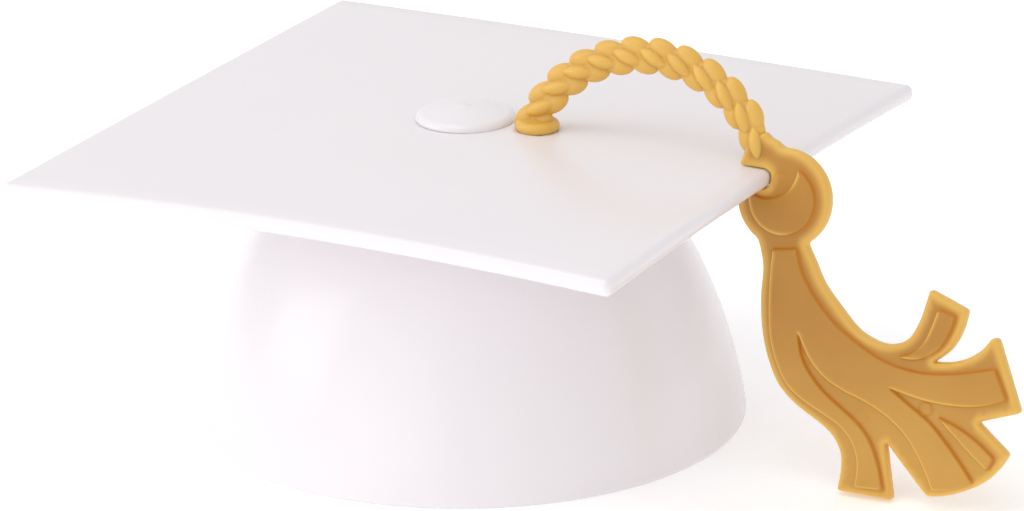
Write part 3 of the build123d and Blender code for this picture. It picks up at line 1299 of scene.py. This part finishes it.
@dataclass
class Tassel:
    """The one-piece tassel: peg, collar, braided arch, slotted disc with a crescent, and strands.

    Points of the flat are u, outward from the peg's axis, and v, up from the line it leans about.
    """

    peg_offset: float = 10.85
    swivel: float = 2.0
    lean: float = 11.0
    hang_z: float = 40.8
    thickness: float = 2.0
    edge: float = 0.6
    relief: float = 0.46
    step_width: float = 0.32
    step_lines: Sequence[float] = (0.0, -1.0, 1.0, -0.5, 0.5, -2.0, 2.0, -3.2, 4.0)
    pillow: float = 0.12
    pillow_width: float = 1.8
    rings: Sequence[Ring] = (
        Ring((58.4, -28.6), 0.95, 0.12),
        Ring((49.5, -31.0), 0.95, 0.05),
        Ring((35.5, -1.9), 1.0, 0.07),
    )
    arch_centre: tuple[float, float] = (15.85, -6.25)
    arch_radius: float = 18.2
    disc_centre: tuple[float, float] = (36.1, -4.1)
    disc_radius: float = 6.55
    slot_top: float = 40.50
    slot_bottom: float = 37.78
    slot_end: float = 34.07
    slot_corner: float = 0.95
    crescent_centre: tuple[float, float] = (36.1, -4.2)
    crescent_radius: float = 4.65
    bite_centre: tuple[float, float] = (33.6, 0.1)
    bite_radius: float = 4.45
    collar_base: float = 41.08
    collar_radius: float = 2.95
    collar_height: float = 1.1
    neck_radius: float = 1.3
    peg_radius: float = 1.45
    peg_lip: float = 0.4
    peg_land: float = 0.3
    peg_tip: float = 1.015
    peg_root: float = 0.4
    peg_snap_z: float = 38.05
    peg_length: float = 2.0
    peg_slot: float = 0.7
    voxel: float = 0.11

    # -- places --
    def to_part(self, local: Points) -> Points:
        """Brings points from the tassel's own plane to the part's frame.

        Args:
            local: rows of u, v, and how far in front of the plane.

        Returns:
            Rows of x, y and z.
        """
        turn, tilt = math.radians(self.swivel), math.radians(self.lean)
        out = np.array([math.cos(turn), math.sin(turn), 0])
        level = np.array([math.sin(turn), -math.cos(turn), 0])
        front = math.cos(tilt) * level + np.array([0, 0, math.sin(tilt)])
        up = np.cross(front, out)
        return np.array([self.peg_offset, 0, self.hang_z]) + local @ np.vstack([out, up, front])

    def level(self, z: float) -> float:
        """The v at which the tassel's plane reaches a height."""
        return (z - self.hang_z) / math.cos(math.radians(self.lean))

    def on_disc(self, angle: float) -> tuple[float, float]:
        """Point of the disc's rim at an angle in degrees."""
        (x, y), radius, turn = self.disc_centre, self.disc_radius, math.radians(angle)
        return x + radius * math.cos(turn), y + radius * math.sin(turn)

    # -- the flat --
    def outline(self) -> Points:
        """Outline of the flat: disc with its slot and neck, and the five cut strands.

        Returns:
            The loop's points.
        """
        high, low = self.level(self.slot_top), self.level(self.slot_bottom)
        left = 180 - math.degrees(math.asin((low - self.disc_centre[1]) / self.disc_radius))
        mouth = self.on_disc(left)
        end, corner = self.slot_end, self.slot_corner
        stem_left, stem_right, crown = self.on_disc(241), self.on_disc(304), self.on_disc(94)
        return closed_loop(
            stroke(stem_left, (33.9, -13.0), (33.95, -17.0), (34.5, -21.5), (35.9, -25.8), (37.4, -28.4),
                   (39.6, -30.4), (42.0, -31.8), (44.2, -33.0), (45.9, -34.4), (46.9, -36.2), (47.1, -38.2),
                   (46.9, -40.2)),
            stroke((46.9, -40.2), (46.8, -41.1)),
            stroke((46.8, -41.1), (54.6, -41.2)),
            stroke((54.6, -41.2), (53.0, -33.7)),
            stroke((53.0, -33.7), (59.3, -40.0)),
            stroke((59.3, -40.0), (61.6, -39.6), (64.4, -38.55), (67.1, -36.9), (68.7, -35.2), (70.1, -32.9)),
            stroke((70.1, -32.9), (65.5, -29.3)),
            stroke((65.5, -29.3), (71.2, -27.3)),
            stroke((71.2, -27.3), (67.3, -18.1)),
            stroke((67.3, -18.1), (66.4, -18.2)),
            stroke((66.4, -18.2), (65.3, -19.8), (64.1, -20.8), (61.9, -21.9), (58.7, -22.45)),
            stroke((58.7, -22.45), (61.1, -20.3), (62.2, -18.1), (62.85, -15.1)),
            stroke((62.85, -15.1), (57.4, -13.1)),
            stroke((57.4, -13.1), (56.9, -15.4), (56.3, -17.5), (54.8, -20.1), (52.3, -21.05), (49.0, -20.3),
                   (44.8, -16.75), (42.6, -14.35), (40.9, -11.4), stem_right),
            arc(self.disc_centre, self.disc_radius, -56, 94),
            stroke(crown, (35.0, 2.75), (34.5, 3.2), (33.7, 3.4), (32.9, 4.2)),
            stroke((32.9, 4.2), (30.9, 3.4)),
            stroke((30.9, 3.4), (30.2, 2.2), (29.9, 0.8), (29.7, high)),
            stroke((29.7, high), (end - corner, high)),
            arc((end - corner, high - corner), corner, 90, 0),
            arc((end - corner, low + corner), corner, 0, -90),
            stroke((end - corner, low), mouth),
            arc(self.disc_centre, self.disc_radius, left, 241),
            soften=3,
        )

    def panel(self) -> Points:
        """The big raised figure that runs from the stem into strands one, three and four.

        Returns:
            The loop's points.
        """
        return closed_loop(
            stroke((35.4, -10.7), (37.0, -10.6), (38.7, -10.2)),
            stroke((38.7, -10.2), (39.7, -13.1), (41.1, -15.3), (42.9, -17.4), (45.1, -19.4), (47.6, -21.0),
                   (52.6, -23.3), (55.5, -23.85), (58.5, -23.95), (61.5, -23.55), (67.5, -22.0)),
            stroke((67.5, -22.0), (69.4, -25.8)),
            stroke((69.4, -25.8), (67.0, -26.8), (63.5, -27.5), (60.5, -27.6), (57.6, -27.4), (53.2, -26.5)),
            stroke((53.2, -26.5), (55.7, -28.1), (59.1, -30.2), (61.6, -32.5), (65.6, -37.0)),
            stroke((65.6, -37.0), (62.9, -38.4), (60.2, -39.0)),
            stroke((60.2, -39.0), (59.1, -36.8), (57.6, -34.4), (55.6, -32.1), (53.1, -30.3), (50.1, -28.9),
                   (46.7, -27.8), (44.2, -26.6), (42.2, -24.9), (40.9, -23.1), (39.9, -21.2)),
            stroke((39.9, -21.2), (40.7, -24.3), (42.2, -26.5), (44.2, -28.4), (46.7, -30.1), (49.2, -31.8),
                   (51.0, -33.7), (52.1, -35.8), (53.4, -40.0)),
            stroke((53.4, -40.0), (49.4, -40.2)),
            stroke((49.4, -40.2), (49.6, -37.9), (49.3, -35.9), (48.4, -34.1), (46.8, -32.6), (44.3, -31.3),
                   (41.3, -29.9), (38.8, -28.1), (37.1, -25.4), (36.0, -22.4), (35.5, -18.8), (35.3, -14.9),
                   (35.4, -10.7)),
            soften=2,
        )

    def sliver(self) -> Points:
        """The narrow raised rib on the second strand.

        Returns:
            The loop's points.
        """
        return closed_loop(
            stroke((60.2, -29.4), (63.2, -30.35), (65.6, -31.6), (68.3, -33.6)),
            stroke((68.3, -33.6), (67.5, -35.2)),
            stroke((67.5, -35.2), (65.4, -33.7), (63.2, -31.9), (60.2, -29.4)),
            step=0.2,
            soften=2,
        )

    def top_rib(self) -> Points:
        """The raised rib on the uppermost strand.

        Returns:
            The loop's points.
        """
        return closed_loop(
            stroke((54.1, -22.3), (55.9, -21.5), (57.4, -19.9), (58.4, -17.5), (59.0, -15.4)),
            stroke((59.0, -15.4), (61.5, -16.0)),
            stroke((61.5, -16.0), (60.8, -18.4), (59.4, -20.7), (57.6, -22.0), (55.6, -22.45), (54.1, -22.3)),
            step=0.2,
            soften=2,
        )

    def crescent(self) -> Points:
        """The raised crescent on the disc: a circle with a bite out of it.

        Returns:
            The loop's points.
        """
        (ax, ay), outer = self.crescent_centre, self.crescent_radius
        (bx, by), bite = self.bite_centre, self.bite_radius
        apart = math.hypot(bx - ax, by - ay)
        toward = math.degrees(math.atan2(by - ay, bx - ax))
        half_outer = math.degrees(math.acos((apart**2 + outer**2 - bite**2) / (2 * apart * outer)))
        half_bite = math.degrees(math.acos((apart**2 + bite**2 - outer**2) / (2 * apart * bite)))
        return closed_loop(
            arc((ax, ay), outer, toward + half_outer, toward + 360 - half_outer),
            arc((bx, by), bite, toward + 180 + half_bite, toward + 180 - half_bite),
            step=0.2,
            soften=3,
        )

    def front_height(self, plan: Points, figures: Sequence[Points]) -> Points:
        """Height of the flat's front skin, with its raised figures and its sunk rings.

        Args:
            plan: points of the flat.
            figures: the loops of the raised figures.

        Returns:
            The height in front of the flat's middle plane.
        """
        height = np.full(len(plan), self.thickness / 2)
        for figure in figures:
            depth = depth_inside(plan, figure)
            height += self.relief * smooth_step(depth / self.step_width + 0.5)
            height += self.pillow * smooth_step(depth / self.pillow_width)
        for ring in self.rings:
            away = np.linalg.norm(plan - np.array(ring.centre), axis=1) - ring.radius
            height -= ring.depth * np.exp(-((away / 0.1) ** 2))
        return height

    def masks(self, local: Points, figures: Sequence[Points]) -> tuple[Points, Points]:
        """Paints light and shade on the flat: painted light where it is thin, lower down the strands and on
        the lit brows of its figures, painted shade at their feet on the shaded side and in the rings.

        Args:
            local: the flat's vertices in its own plane.
            figures: the loops of the raised figures.

        Returns:
            The painted-light mask and the painted-shade mask.
        """
        plan, in_front, half = local[:, :2], local[:, 2] > 0, self.step_width / 2
        # painted light: paler towards the outline, standing in for light that shines through the thin plastic
        rim = 1 - smooth_step(edge_distance(plan, self.outline()) / 1.6)
        # painted light: the strands grow paler further down, away from the board's shadow near the stem
        rim = np.maximum(rim, 0.36 * smooth_step((-16 - plan[:, 1]) / 20))
        crease = np.zeros(len(local))
        ahead, toward_shade = 0.04, np.array([0.8, 0.6])
        # painted shade at the foot of each figure on the side away from the light, and a painted highlight on
        # its brow on the side towards it
        for figure in figures:
            depth = depth_inside(plan, figure)
            climb = (depth_inside(plan + ahead * toward_shade, figure) - depth) / ahead
            foot = np.exp(-(((depth + half) / 0.24) ** 2))
            brow = np.exp(-(((depth - half) / 0.16) ** 2))
            crease = np.maximum(crease, smooth_step((0.5 - climb) / 1.1) * foot)
            rim = np.maximum(rim, smooth_step(climb / 0.7) * brow * in_front)
        # painted shade in the sunk rings
        for ring in self.rings:
            away = np.linalg.norm(plan - np.array(ring.centre), axis=1) - ring.radius
            crease = np.maximum(crease, 5 * ring.depth * np.exp(-((away / 0.13) ** 2)))
        return rim, crease * in_front

    def build_flat(self) -> bpy.types.Object:
        """Meshes the flat with its raised figures and its sunk rings.

        Returns:
            The flat in the part's frame, with its painted-light and painted-shade masks.
        """
        figures = [self.panel(), self.sliver(), self.top_rib(), self.crescent()]
        half = self.step_width / 2
        lines = [inset(figure, share * half) for figure in figures for share in self.step_lines]
        for ring in self.rings:
            lines += [arc(ring.centre, ring.radius + d, 0, 360, 0.2) for d in (-0.14, -0.05, 0.05, 0.14)]
        plate = Plate(
            self.outline(),
            lambda plan: self.front_height(plan, figures),
            lambda plan: np.full(len(plan), -self.thickness / 2),
            self.edge,
            0.55,
            upper_lines=lines,
            share=lambda plan: 1 - 0.7 * self.near_slot(plan),
        )
        piece = plate.build("tassel_flat")
        local = vertices_of(piece)
        rim, crease = self.masks(local, figures)
        # the first mask holds the painted light, the second the painted shade
        store(piece, Mask.RIM, rim)
        store(piece, Mask.CREASE, crease)
        lean = math.tan(math.radians(self.lean))
        local[:, 1] -= local[:, 2] * lean * self.near_slot(local[:, :2])
        piece.data.vertices.foreach_set("co", self.to_part(local).astype(np.float32).ravel())
        return piece

    def near_slot(self, plan: Points) -> Points:
        """Tells how close points are to the slot's level walls.

        Args:
            plan: points of the flat.

        Returns:
            1 at the walls, fading to 0 a little more than a millimetre from them.
        """
        middle = (self.level(self.slot_top) + self.level(self.slot_bottom)) / 2
        half = (self.level(self.slot_top) - self.level(self.slot_bottom)) / 2
        across = np.abs(np.abs(plan[:, 1] - middle) - half)
        beyond = np.maximum(plan[:, 0] - self.slot_end, 0)
        return 1 - smooth_step(np.hypot(across, beyond) / 1.2)

    # -- the braid --
    def rows(self) -> list[PlaitRow]:
        """The braid's rows: a core, the outer and inner lobes, and the leaves front and back.

        Returns:
            The rows.
        """
        return [
            PlaitRow(62, 156.0, 2.0, self.arch_radius, (1.5, 1.7, 0.98)),
            PlaitRow(11, 155.1, 11.6, self.arch_radius + 1.0, (2.35, 1.40, 1.1), slant=-20, pointed=0.05),
            PlaitRow(11, 155.2, 12.2, self.arch_radius - 1.0, (2.25, 1.38, 1.1), slant=-20, pointed=0.05),
            PlaitRow(11, 148.4, 11.93, self.arch_radius - 0.1, (2.2, 0.92, 0.95), -33, 1.8, 0.78, 0.3),
            PlaitRow(11, 148.4, 11.93, self.arch_radius - 0.1, (2.2, 0.92, 0.95), -33, 1.8, -0.78, 0.3),
        ]

    def build_braid(self, plait: bpy.types.NodeTree, lathe: bpy.types.NodeTree) -> bpy.types.Object:
        """Grows the braid on its collar and melts the lobes together.

        Args:
            plait: the plait_row tree.
            lathe: the turned tree.

        Returns:
            The braid and collar in the part's frame, with their painted-light and painted-shade masks.
        """
        mesh = bpy.data.meshes.new("braid")
        piece = bpy.data.objects.new("braid", mesh)
        bpy.context.scene.collection.objects.link(piece)
        for row in self.rows():
            grow(
                piece,
                plait,
                count=row.count,
                first_angle=math.radians(row.first),
                pitch=math.radians(row.pitch),
                centre=(*self.arch_centre, 0.0),
                radius=row.radius,
                lobe_size=row.size,
                slant=math.radians(row.slant),
                slant_step=math.radians(row.slant_step),
                front=row.front,
                pointed=row.pointed,
            )
        baked(piece)
        place = self.to_part(vertices_of(piece))
        place[:, 2] = np.maximum(place[:, 2], self.collar_base + 0.1)
        piece.data.vertices.foreach_set("co", place.astype(np.float32).ravel())
        whole = joined("braid_and_collar", [piece, self.build_collar(lathe)])
        melt = whole.modifiers.new("melt", "REMESH")
        melt.mode = "VOXEL"
        melt.voxel_size = self.voxel
        ease = whole.modifiers.new("ease", "SMOOTH")
        ease.factor = 0.5
        ease.iterations = 2
        baked(whole)
        whole.data.shade_smooth()
        hollow = hollowness(whole, 5)
        log.info("braid hollowness from %.3f to %.3f", *np.percentile(hollow, (2, 98)))
        # painted highlight on the braid's ridges and painted shade in its creases, from how hollow each place
        # is
        store(whole, Mask.RIM, 0.85 - hollow * 6)
        store(whole, Mask.CREASE, hollow * 9 - 0.15)
        return whole

    def build_collar(self, lathe: bpy.types.NodeTree) -> bpy.types.Object:
        """The domed collar that stands on the board round the peg.

        Args:
            lathe: the turned tree.

        Returns:
            The collar.
        """
        base, radius, height = self.collar_base, self.collar_radius, self.collar_height
        profile = [(0.0, base), (radius - 0.25, base)]
        for turn in np.radians(np.linspace(-30, 78, 10)):
            profile.append((radius - 0.75 + 0.75 * math.cos(turn), base + 0.62 + 0.72 * math.sin(turn)))
        profile += [(self.neck_radius, base + height + 0.25), (0.0, base + height + 0.6)]
        piece = turned("collar", profile, lathe, 64)
        piece.data.transform(Matrix.Translation((self.peg_offset, 0, 0)))
        return piece

    def build_peg(self, lathe: bpy.types.NodeTree) -> bpy.types.Object:
        """The peg below the collar, with its split snap end.

        Args:
            lathe: the turned tree.

        Returns:
            The peg, with an even share of the pale colour and no painted shade.
        """
        low, high = self.peg_snap_z - self.peg_length, self.peg_snap_z + 1
        lip, root = self.peg_radius + self.peg_lip, self.collar_base + self.peg_root
        profile = [
            (0.0, low),
            (self.peg_tip, low),
            (lip, self.peg_snap_z - self.peg_land),
            (lip, self.peg_snap_z),
            (self.peg_radius, self.peg_snap_z),
            (self.peg_radius, root),
            (0.0, root),
        ]
        piece = turned("peg", profile, lathe, 48)
        piece.data.transform(Matrix.Translation((self.peg_offset, 0, 0)))
        turn = math.radians(self.swivel)
        blade = saw_blade((self.peg_offset, 0), 3 * self.peg_radius, self.peg_slot, low - 1, high, turn)
        cut(piece, [blade])
        store(piece, Mask.RIM, np.full(len(piece.data.vertices), 0.4))
        store(piece, Mask.CREASE, np.zeros(len(piece.data.vertices)))
        return piece

    def build(
        self, material: bpy.types.Material, plait: bpy.types.NodeTree, lathe: bpy.types.NodeTree
    ) -> bpy.types.Object:
        """Makes the whole moulding.

        Args:
            material: its plastic.
            plait: the plait_row tree.
            lathe: the turned tree.

        Returns:
            The finished piece.
        """
        parts = [self.build_flat(), self.build_braid(plait, lathe), self.build_peg(lathe)]
        piece = joined("tassel_moulding", parts)
        finish_piece(piece, material, Body.TASSEL, "tassel")
        return piece


def hollowness(piece: bpy.types.Object, passes: int) -> Points:
    """How far each vertex lies below the average of its neighbours, blurred, in millimetres.

    Args:
        piece: an evenly meshed object.
        passes: how many times the neighbourhood is widened.

    Returns:
        Positive values in creases and negative ones on ridges.
    """
    place = vertices_of(piece)
    edges = np.empty(len(piece.data.edges) * 2, np.int32)
    piece.data.edges.foreach_get("vertices", edges)
    a, b = edges.reshape(-1, 2).T
    number = np.bincount(a, minlength=len(place)) + np.bincount(b, minlength=len(place))
    number = np.maximum(number, 1)[:, None]

    def neighbours(values: Points) -> Points:
        """Averages each vertex's neighbours.

        Args:
            values: one row for each vertex.

        Returns:
            The averages, in the same order.
        """
        total = np.zeros_like(values)
        np.add.at(total, a, values[b])
        np.add.at(total, b, values[a])
        return total / number

    smooth = place
    for _ in range(passes):
        smooth = neighbours(smooth)
    normal = np.empty(len(place) * 3, np.float32)
    piece.data.vertices.foreach_get("normal", normal)
    depth = ((smooth - place) * normal.reshape(-1, 3)).sum(1)[:, None]
    for _ in range(2):
        depth = (depth + neighbours(depth)) / 2
    return depth[:, 0]


# ---- studio -----------------------------------------------------------------------------------
@dataclass(frozen=True)
class Lamp:
    """A soft square light aimed at the cap."""

    name: str
    azimuth: float
    elevation: float
    distance: float
    size: float
    power: float
    colour: Colour = (1.0, 1.0, 1.0)

    def build(self, target: Vector) -> None:
        """Hangs the light and aims it.

        Args:
            target: the point that it is aimed at.
        """
        light = bpy.data.lights.new(self.name, "AREA")
        light.shape = "SQUARE"
        light.size = self.size
        light.energy = self.power
        light.color = self.colour
        lamp = bpy.data.objects.new(self.name, light)
        bpy.context.scene.collection.objects.link(lamp)
        turn, rise = math.radians(self.azimuth), math.radians(self.elevation)
        away = Vector((math.sin(turn) * math.cos(rise), -math.cos(turn) * math.cos(rise), math.sin(rise)))
        lamp.location = target + away * self.distance
        lamp.rotation_euler = away.to_track_quat("Z", "Y").to_euler()


@dataclass
class Studio:
    """White paper, soft light and the camera."""

    azimuth: float = 28.61
    elevation: float = 19.35
    roll: float = -0.8
    distance: float = 868.7
    target: tuple[float, float, float] = (4.915, 3.352, 21.449)
    lens: float = 228.5
    floor_half: float = 3000.0
    sky: float = 0.78
    lamps: Sequence[Lamp] = (
        Lamp("key", -55, 24, 1.0, 0.6, 1.85),
        Lamp("front", -8, 8, 1.1, 0.9, 1.42),
        Lamp("top", -40, 70, 0.9, 0.6, 1.35),
    )

    def build(self) -> None:
        """Lays the floor and sets the light and the camera."""
        self.lay_floor()
        self.light()
        self.place_camera()

    def lay_floor(self) -> None:
        """The sheet of paper under the cap."""
        half = self.floor_half
        corners = np.array([(-half, -half, 0), (half, -half, 0), (half, half, 0), (-half, half, 0)]) * MM
        floor = new_object("floor", corners, [(0, 1, 2, 3)])
        floor.data.materials.append(Paper().build())

    def light(self) -> None:
        """Sets a bright tent, and lamps from the left, the front and above."""
        world = bpy.data.worlds.new("tent")
        bpy.context.scene.world = world
        world.use_nodes = True
        background = world.node_tree.nodes["Background"]
        background.inputs["Color"].default_value = (1.0, 1.0, 1.0, 1.0)
        background.inputs["Strength"].default_value = self.sky
        for lamp in self.lamps:
            lamp.build(Vector((0, 0, 0.02)))
        bpy.context.scene.view_settings.view_transform = "Standard"

    def place_camera(self) -> None:
        """A long lens, front right and a little above."""
        turn, rise, roll = (math.radians(a) for a in (self.azimuth, self.elevation, self.roll))
        right = Vector((math.cos(turn), math.sin(turn), 0))
        back = Vector((math.sin(turn) * math.cos(rise), -math.cos(turn) * math.cos(rise), math.sin(rise)))
        up = back.cross(right)
        x_axis = right * math.cos(roll) + up * math.sin(roll)
        y_axis = up * math.cos(roll) - right * math.sin(roll)
        data = bpy.data.cameras.new("camera")
        data.lens = self.lens
        data.sensor_width = 36.0
        data.clip_start = 0.01
        data.clip_end = 20
        camera = bpy.data.objects.new("camera", data)
        place = (Vector(self.target) + back * self.distance) * MM
        axes = Matrix((x_axis, y_axis, back)).transposed().to_4x4()
        camera.matrix_world = Matrix.Translation(place) @ axes
        bpy.context.scene.collection.objects.link(camera)
        bpy.context.scene.camera = camera


def main() -> None:
    """Builds the cap's pieces in order, then the studio."""
    logging.basicConfig(level=logging.INFO, format="%(message)s")
    surface = moulded_surface()
    white = WhitePlastic().build("white_polystyrene", surface)
    gold = GoldPlastic().build("gold_polypropylene", surface)
    lathe, bell, plait = lathe_tree(), bell_tree(), plait_tree()
    Board().build(white)
    SkullCap().build(white, bell)
    Button().build(white, lathe)
    Tassel().build(gold, plait, lathe)
    Studio().build()


if __name__ == "__main__":
    main()
